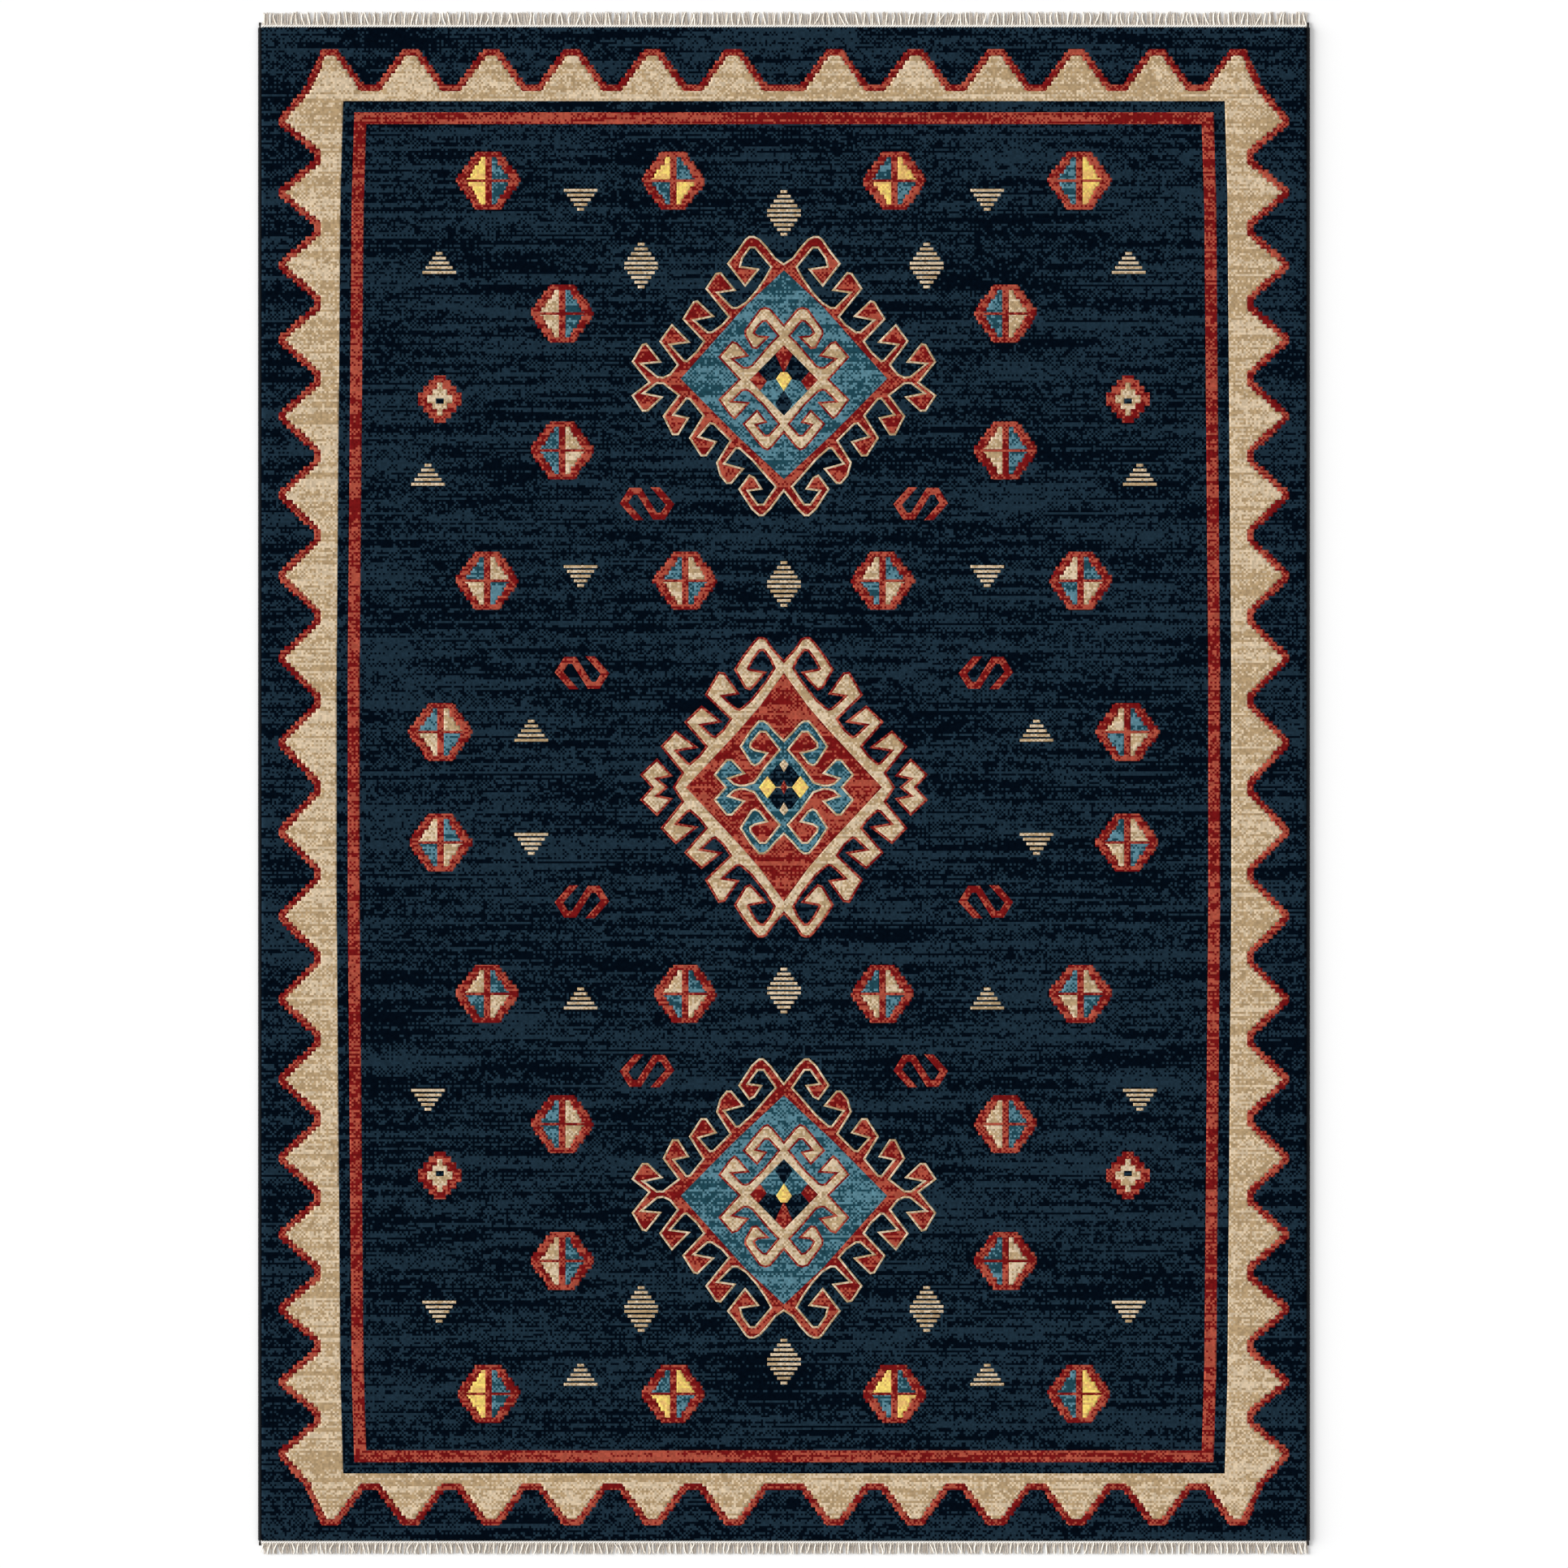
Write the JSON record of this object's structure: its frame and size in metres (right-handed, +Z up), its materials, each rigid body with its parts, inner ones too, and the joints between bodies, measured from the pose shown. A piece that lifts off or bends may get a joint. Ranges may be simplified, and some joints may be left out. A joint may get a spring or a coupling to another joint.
{
  "type": "area rug",
  "caption": "Rectangular cut-pile area rug with a hooked-medallion pattern, a zigzag border, overcast long edges and a fringe at both short ends.",
  "frame": {"origin": "centre of the underside, on the floor", "axes": "+Y along the length, towards the north fringe; +X across the width; +Z up out of the pile"},
  "size_m": [1.6, 2.3508, 0.009],
  "materials": {
    "navy_yarn": "matt cut pile, two tones of navy",
    "red_yarn": "matt cut pile, brick and dark red",
    "cream_yarn": "matt cut pile, cream and tan",
    "teal_yarn": "matt cut pile, light and dark teal",
    "gold_yarn": "matt cut pile, gold",
    "jute_weave": "coarse jute weft over cotton warp",
    "latex_sizing": "thin latex size soaked into the weave",
    "overcast_yarn": "tightly wound near-black yarn",
    "selvedge_cord": "twisted dark cord",
    "fringe_tape": "woven cotton tape",
    "sewing_thread": "chain-stitched thread",
    "fringe_cotton": "twisted off-white cotton strands"
  },
  "bodies": {
    "rug": {"back_sizing": "latex_sizing", "ground_weave": "jute_weave", "frame_pile": "navy_yarn", "zigzag_pile": "red_yarn", "border_pile": "cream_yarn", "guard_gap_pile": "navy_yarn", "guard_stripe_pile": "red_yarn", "field_pile": "navy_yarn", "middle_hook_outline": "red_yarn", "middle_hooks": "cream_yarn", "middle_ground": "red_yarn", "middle_inner_outline": "cream_yarn", "middle_inner_hooks": "teal_yarn", "middle_core_dark": "navy_yarn", "middle_core_gold": "gold_yarn", "middle_core_cream": "cream_yarn", "middle_core_red": "red_yarn", "north_hook_outline": "cream_yarn", "north_hooks": "red_yarn", "north_ground": "teal_yarn", "north_inner_outline": "red_yarn", "north_inner_hooks": "cream_yarn", "north_core_dark": "navy_yarn", "north_core_gold": "gold_yarn", "north_core_red": "red_yarn", "north_core_teal": "teal_yarn", "south_hook_outline": "cream_yarn", "south_hooks": "red_yarn", "south_ground": "teal_yarn", "south_inner_outline": "red_yarn", "south_inner_hooks": "cream_yarn", "south_core_dark": "navy_yarn", "south_core_gold": "gold_yarn", "south_core_red": "red_yarn", "south_core_teal": "teal_yarn", "rosette_frames": "red_yarn", "rosette_cream": "cream_yarn", "rosette_teal": "teal_yarn", "rosette_gold": "gold_yarn", "star_frames": "red_yarn", "star_petals": "cream_yarn", "star_eyes": "navy_yarn", "double_hooks": "red_yarn", "striped_triangles": "cream_yarn", "striped_lozenges": "cream_yarn", "overcast_east": "overcast_yarn", "overcast_west": "overcast_yarn", "selvedge_cord_east": "selvedge_cord", "selvedge_cord_west": "selvedge_cord", "fringe_tape_north": "fringe_tape", "fringe_tape_south": "fringe_tape", "tape_stitching_north": "sewing_thread", "tape_stitching_south": "sewing_thread"},
    "fringe_north": {"fringe_north": "fringe_cotton"},
    "fringe_south": {"fringe_south": "fringe_cotton"}
  },
  "joints": [
    {"name": "fringe_north_flop", "type": "hinge", "parent": "rug", "child": "fringe_north", "pos_m": [0, 1.155, 0.006], "axis": [1, 0, 0], "range_deg": [0, 178]},
    {"name": "fringe_south_flop", "type": "hinge", "parent": "rug", "child": "fringe_south", "pos_m": [0, -1.155, 0.006], "axis": [-1, 0, 0], "range_deg": [0, 178]}
  ]
}
